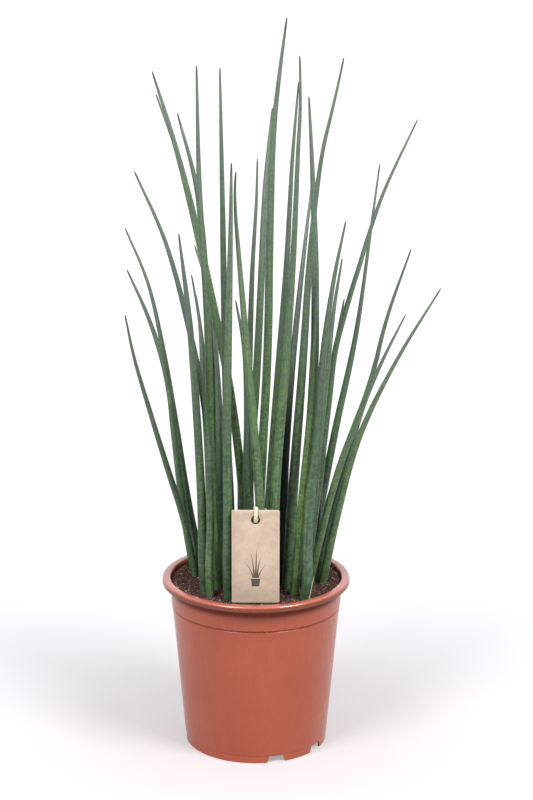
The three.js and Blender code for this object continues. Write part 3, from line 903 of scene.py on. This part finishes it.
def leaf_hole(mesh, name):
    """The hole that a leaf stands in: its buried length, a little wider and deeper."""
    places, girths, _, reach = leaf_path(name)
    buried = reach < HOLE_RISE * MM
    places = places[buried]
    downward = places[0] - places[1]
    places[0] += downward / np.linalg.norm(downward) * HOLE_DEPTH * MM
    rings = []
    for place, girth in zip(places, girths[buried] + HOLE_PLAY * MM):
        ring = []
        for angle in np.arange(HOLE_SIDES) * 2 * math.pi / HOLE_SIDES:
            out = np.array([math.cos(angle), math.sin(angle), 0]) * girth / 2
            ring.append(mesh.verts.new(place + out))
        rings.append(ring)
    mesh.faces.new(rings[0][::-1])
    mesh.faces.new(rings[-1])
    for lower, upper in zip(rings, rings[1:]):
        for index in range(HOLE_SIDES):
            after = (index + 1) % HOLE_SIDES
            mesh.faces.new((lower[index], lower[after], upper[after], upper[index]))


def crumb_tree():
    """Scatters rough crumbs over the upward faces of the soil, clear of the tag."""
    tree, given, result = new_group(
        "crumbs on the soil", "GeometryNodeTree",
        {"Geometry": "Geometry", "Density": 1e5, "Smallest": 0.3 * MM, "Largest": 1.2 * MM,
         "Seed": 1, "Material": "Material"},
        {"Geometry": "Geometry"})
    normal = add(tree, "ShaderNodeSeparateXYZ", {0: made(tree, "GeometryNodeInputNormal")})
    place = add(tree, "ShaderNodeSeparateXYZ", {0: made(tree, "GeometryNodeInputPosition")})

    def over(value, limit):
        node = add(tree, "FunctionNodeCompare", {0: value, 1: limit}, operation="GREATER_THAN")
        return node.outputs[0]

    def either(kind, first, second):
        return made(tree, "FunctionNodeBooleanMath", {0: first, 1: second}, operation=kind)

    top = either("AND", over(normal.outputs[2], 0.4), over(place.outputs[2], (SOIL_LEVEL - 6) * MM))
    beside = over(maths(tree, "ABSOLUTE", place.outputs[0]), CLEAR_HALF_WIDTH * MM)
    from_card = maths(tree, "SUBTRACT", place.outputs[1], TAG_CENTRE.y * MM)
    apart = over(maths(tree, "ABSOLUTE", from_card), CLEAR_HALF_DEPTH * MM)
    clear = either("AND", top, either("OR", beside, apart))
    points = add(tree, "GeometryNodeDistributePointsOnFaces",
                 {"Mesh": given.outputs["Geometry"], "Selection": clear,
                  "Density": given.outputs["Density"], "Seed": given.outputs["Seed"]})
    shapes = add(tree, "GeometryNodeJoinGeometry")
    for variant in range(3):
        ball = made(tree, "GeometryNodeMeshIcoSphere", {"Radius": 1.0, "Subdivisions": 1})
        corner = made(tree, "GeometryNodeInputPosition")
        rough = add(tree, "ShaderNodeTexNoise", {"Vector": corner, "W": variant * 3.1, "Scale": 1.3},
                    noise_dimensions="4D")
        push = vector_maths(tree, "SUBTRACT", rough.outputs["Color"], (0.5, 0.5, 0.5))
        push = vector_maths(tree, "MULTIPLY", push, (1.6, 1.6, 1.6))
        ball = made(tree, "GeometryNodeSetPosition", {"Geometry": ball, "Offset": push})
        ball = made(tree, "GeometryNodeGeometryToInstance", {0: ball})
        tree.links.new(ball, shapes.inputs[0])

    def drawn(low, high, seed, kind="FLOAT"):
        first, output = (0, 0) if kind == "FLOAT_VECTOR" else (2, 1)
        sockets = {first: low, first + 1: high, "Seed": seed}
        return add(tree, "FunctionNodeRandomValue", sockets, data_type=kind).outputs[output]

    turn = drawn((0, 0, 0), (6.3, 6.3, 6.3), 11, "FLOAT_VECTOR")
    squared = maths(tree, "POWER", drawn(0.0, 1.0, 12), 2.5)
    growth = maths(tree, "SUBTRACT", given.outputs["Largest"], given.outputs["Smallest"])
    size = maths(tree, "ADD", given.outputs["Smallest"], times(tree, squared, growth))
    shape = drawn((0.7, 0.7, 0.5), (1.25, 1.0, 0.9), 13, "FLOAT_VECTOR")
    rotation = made(tree, "FunctionNodeEulerToRotation", {0: turn})
    crumbs = made(tree, "GeometryNodeInstanceOnPoints",
                  {"Points": points.outputs["Points"], "Instance": shapes.outputs[0],
                   "Pick Instance": True, "Rotation": rotation, "Scale": scaled(tree, shape, size)})
    toned = add(tree, "GeometryNodeStoreNamedAttribute",
                {"Geometry": crumbs, "Name": "crumb_tone", "Value": drawn(0.0, 1.0, 14)},
                data_type="FLOAT", domain="INSTANCE")
    realized(tree, toned.outputs[0], given, result)
    return tree


def crumbs(ground):
    piece = grown("soil_crumbs", ground.data.copy(), crumb_tree(),
                  **{"Density": 4.2e5, "Smallest": 0.22 * MM, "Largest": 1.05 * MM, "Seed": 4,
                     "Material": crumb_finish()})
    declared(piece, "potting_soil")


# Tag card and its cord

def inked_leaf_group():
    """The print of one slim leaf, from its foot to its point. Place and sizes are in millimetres."""
    tree, given, result = new_group(
        "inked leaf", "ShaderNodeTree",
        {"Place": "Vector", "Foot": 0.0, "Lean": 0.0, "Bend": 0.0, "Height": 20.0, "Width": 1.0},
        {"Mask": "Float"})
    parts = add(tree, "ShaderNodeSeparateXYZ", {0: given.outputs["Place"]})
    across, up = parts.outputs[0], parts.outputs[2]
    share = maths(tree, "DIVIDE", up, given.outputs["Height"])
    bent = times(tree, times(tree, share, share), given.outputs["Bend"])
    line = maths(tree, "ADD", times(tree, share, given.outputs["Lean"]), bent)
    line = maths(tree, "ADD", line, given.outputs["Foot"])
    off = maths(tree, "ABSOLUTE", maths(tree, "SUBTRACT", across, line))
    left = maths(tree, "SUBTRACT", 1.0, share, clamp=True)
    half = times(tree, maths(tree, "POWER", left, 0.7), given.outputs["Width"])
    inside = spread(tree, maths(tree, "SUBTRACT", half, off), -0.05, 0.2)
    above = maths(tree, "GREATER_THAN", up, 0.0)
    tree.links.new(times(tree, inside, above), result.inputs["Mask"])
    return tree


def card_finish():
    """Uncoated kraft card with paper fibres, pale cut edges and a small drawing of a plant in ink."""
    material, tree, shader = new_finish("kraft card", IOR=1.4, Roughness=0.85)
    place = object_place(tree)
    on_card = made(tree, "ShaderNodeMapping",
                   {"Vector": place, "Location": -TAG_CENTRE, "Scale": (1 / MM, 1 / MM, 1 / MM)})
    sides = add(tree, "ShaderNodeSeparateXYZ", {0: on_card})
    streaky = made(tree, "ShaderNodeMapping", {"Vector": place, "Scale": (1.0, 1.0, 0.25)})
    paper = blended(tree, mottle(tree, place, 9, 0.3, 0.7), linear(188, 167, 147), linear(202, 182, 162))
    paper = tinted(tree, paper, mottle(tree, streaky, 0.7, 0.5, 0.7), 0.35, (178, 153, 130))
    paper = tinted(tree, paper, mottle(tree, place, 0.8, 0.66, 0.72), 0.4, (120, 90, 68))

    group = inked_leaf_group()
    drawing = vector_maths(tree, "ADD", on_card, (0.0, 0.0, DRAWING_DROP))
    ink = None
    for foot, lean, bend, height, width in DRAWN_LEAVES:
        mask = mask_from(tree, group, drawing, Foot=foot, Lean=lean, Bend=bend,
                         Height=height, Width=width)
        ink = mask if ink is None else maths(tree, "MAXIMUM", ink, mask)
    half, middle, tall = DRAWN_POT
    parts = add(tree, "ShaderNodeSeparateXYZ", {0: drawing})
    from_middle = maths(tree, "ADD", parts.outputs[2], middle)
    wall = maths(tree, "ADD", times(tree, from_middle, 0.12), half)
    off = maths(tree, "ABSOLUTE", parts.outputs[0])
    across = spread(tree, maths(tree, "SUBTRACT", wall, off), -0.05, 0.2)
    upright = spread(tree, maths(tree, "ABSOLUTE", from_middle), tall - 0.15, tall + 0.1, 1.0, 0.0)
    ink = maths(tree, "MAXIMUM", ink, times(tree, across, upright))
    front = maths(tree, "LESS_THAN", sides.outputs[1], -0.3)
    ink = times(tree, times(tree, ink, mottle(tree, place, 0.5, 0.25, 0.45)), front)
    paper = tinted(tree, paper, ink, 0.9, (52, 48, 46))

    edges = []
    for output, size in ((0, TAG_WIDTH), (2, TAG_HEIGHT)):
        off = maths(tree, "ABSOLUTE", sides.outputs[output])
        edges.append(spread(tree, off, size / 2 - 1.1, size / 2 - 0.5))
    paper = tinted(tree, paper, maths(tree, "MAXIMUM", *edges), 0.7, (210, 193, 176))
    feed(shader, "Base Color", paper)
    bumped(tree, shader, mottle(tree, streaky, 0.5, 0.2, 0.8), 0.3, 0.08)
    return material


def tag_card():
    """A card with rounded corners, a punched hole and slightly eased edges."""
    mesh = bmesh.new()
    half = Vector((TAG_WIDTH / 2, TAG_HEIGHT / 2))
    outline = []
    for side_x, side_z, start in ((1, -1, -90), (1, 1, 0), (-1, 1, 90), (-1, -1, 180)):
        for step in range(7):
            angle = math.radians(start + 15 * step)
            outline.append((side_x * (half.x - TAG_CORNER) + TAG_CORNER * math.cos(angle),
                            side_z * (half.y - TAG_CORNER) + TAG_CORNER * math.sin(angle)))
    hole_z = half.y - TAG_HOLE_DROP
    rim = [(TAG_HOLE_RADIUS * math.cos(a), hole_z + TAG_HOLE_RADIUS * math.sin(a))
           for a in np.linspace(0, 2 * math.pi, 48, endpoint=False)]
    edges = []
    for loop in (outline, rim):
        corners = [mesh.verts.new((x, 0, z)) for x, z in loop]
        edges += [mesh.edges.new(pair) for pair in zip(corners, corners[1:] + corners[:1])]
    bmesh.ops.triangle_fill(mesh, edges=edges, use_beauty=True)
    for vertex in mesh.verts:
        vertex.co = (vertex.co + TAG_CENTRE) * MM
    bmesh.ops.recalc_face_normals(mesh, faces=mesh.faces)
    piece = shaped("tag_card_kraft", mesh)
    thickness = piece.modifiers.new("card", "SOLIDIFY")
    thickness.thickness = TAG_THICKNESS * MM
    thickness.offset = 0
    eased = piece.modifiers.new("eased edges", "BEVEL")
    eased.width = TAG_EDGE * MM
    eased.segments = 2
    eased.angle_limit = math.radians(50)
    applied(piece)
    dressed(piece, card_finish(), 30)
    declared(piece, "tag_card", "tag_card")


def cord_finish():
    """Cream twisted cotton."""
    material, tree, shader = new_finish("cream cotton cord", IOR=1.4, Roughness=0.9, Sheen_Weight=0.3)
    place = attribute(tree, "leaf_place", "Vector")
    strands = fibres(tree, place, 4.5, 900.0, 0.35, 0.65)
    cream = blended(tree, strands, linear(214, 192, 150), linear(244, 232, 205))
    cream = tinted(tree, cream, mottle(tree, object_place(tree), 2.5), 0.3, (226, 200, 160))
    feed(shader, "Base Color", cream)
    bumped(tree, shader, strands, 0.5, 0.15)
    return material


def through_points(points, steps):
    """A smooth closed curve through the points, slowed where they lie close together."""
    count = len(points)
    places = []
    for step in range(steps):
        at = step / steps * count
        index = int(at)
        t = at - index
        p0, p1, p2, p3 = (Vector(points[(index + offset) % count]) for offset in (-1, 0, 1, 2))
        first, middle, last = ((b - a).length ** 0.5 or 1.0 for a, b in ((p0, p1), (p1, p2), (p2, p3)))
        start = ((p1 - p0) / first - (p2 - p0) / (first + middle) + (p2 - p1) / middle) * middle
        end = ((p2 - p1) / middle - (p3 - p1) / (middle + last) + (p3 - p2) / last) * middle
        places.append(between(p1, start, p2, end, t))
    return places


def tag_cord(tree):
    """A closed flat loop: through the tag's hole, over its top edge and round the leaf behind it."""
    hole_x, card_y, middle_z = TAG_CENTRE
    top = middle_z + TAG_HEIGHT / 2
    hole_z = top - TAG_HOLE_DROP
    places, girths, _, reach = leaf_path(TIED_LEAF)
    leaf_x, leaf_y = (np.interp((top - 5) * MM, places[:, 2], places[:, axis]) / MM for axis in (0, 1))
    girth = girths[reach > 0][0] / MM
    around = girth / 2 + CORD_HALF_THICKNESS + 0.6
    off = TAG_THICKNESS / 2 + CORD_HALF_THICKNESS + 0.5
    points = [
        (hole_x, card_y, hole_z - 2.5),
        (hole_x, card_y - off, hole_z + 0.5),
        (hole_x + 0.3, card_y - off, top - 2),
        (hole_x + 0.5, card_y, top + off),
        (leaf_x - around * 0.9, leaf_y - 4, top - 1),
        (leaf_x - around * 0.9, leaf_y + 2, top - 3),
        (leaf_x, leaf_y + around, top - 4),
        (leaf_x + around, leaf_y, top - 5),
        (leaf_x + around * 0.5, leaf_y - around, top - 7),
        (hole_x + 0.6, card_y + off + 0.8, hole_z - 1),
    ]
    widths = [(0, 0, 1) if 4 <= index <= 8 else (1, 0, 0) for index in range(len(points))]
    line = through_points(points, CORD_STEPS)
    across = through_points(widths, CORD_STEPS)
    facing, reach, length = [], [], 0.0
    for index, place in enumerate(line):
        ahead = line[(index + 1) % CORD_STEPS]
        tangent = (ahead - line[index - 1]).normalized()
        width = (across[index] - tangent * across[index].dot(tangent)).normalized()
        facing.append(tangent.cross(width))
        reach.append(length * MM)
        length += (ahead - place).length
    source = path_mesh("cord_line", [place * MM for place in line], closed=True, facing=facing,
                       girth=np.full(CORD_STEPS, 2 * CORD_HALF_WIDTH * MM), reach=reach)
    piece = grown("tag_cord_cotton", source, tree, **{
        "Sides": 20, "Flatness": CORD_HALF_THICKNESS / CORD_HALF_WIDTH, "Channel depth": 0.0,
        "Furrow depth": 0.05, "Seed": 3.0, "Material": cord_finish()})
    declared(piece, "tag_cord", "tag_cord")


# Dry bits on the soil

def straw_finish():
    """Dry straw, paler along some strands."""
    material, tree, shader = new_finish("dry straw", IOR=1.45, Roughness=0.6)
    place = attribute(tree, "leaf_place", "Vector")
    strands = fibres(tree, place, 2.5, 60.0, 0.3, 0.7)
    colour = blended(tree, strands, linear(168, 146, 116), linear(214, 200, 172))
    feed(shader, "Base Color", colour)
    return material


def dry_bits(tree):
    """A short straw that leans against a leaf, and a hair-thin root fibre that curls over the lip."""
    finish = straw_finish()
    for name, girth, points in DRY_BITS:
        stations = np.linspace(0, 1, len(points))
        fine = np.linspace(0, 1, 40)
        line = smooth(np.array(points) * MM, stations, fine)
        reach = np.concatenate([[0], np.cumsum(np.linalg.norm(np.diff(line, axis=0), axis=1))])
        source = path_mesh(name + "_line", line, girth=girth * MM * (1 - 0.5 * fine), reach=reach,
                           facing=np.tile((0.0, 1.0, 0.0), (len(line), 1)))
        piece = grown(name, source, tree, **{
            "Sides": 8, "Flatness": 0.7, "Channel depth": 0.0, "Furrow depth": 0.1, "Seed": 1.0,
            "Material": finish})
        declared(piece, "potting_soil")


camera_and_light()
floor()
pot()
body_along_line = sweep_tree()
leaf_pieces(body_along_line)
ground = soil()
crumbs(ground)
tag_card()
tag_cord(body_along_line)
dry_bits(body_along_line)
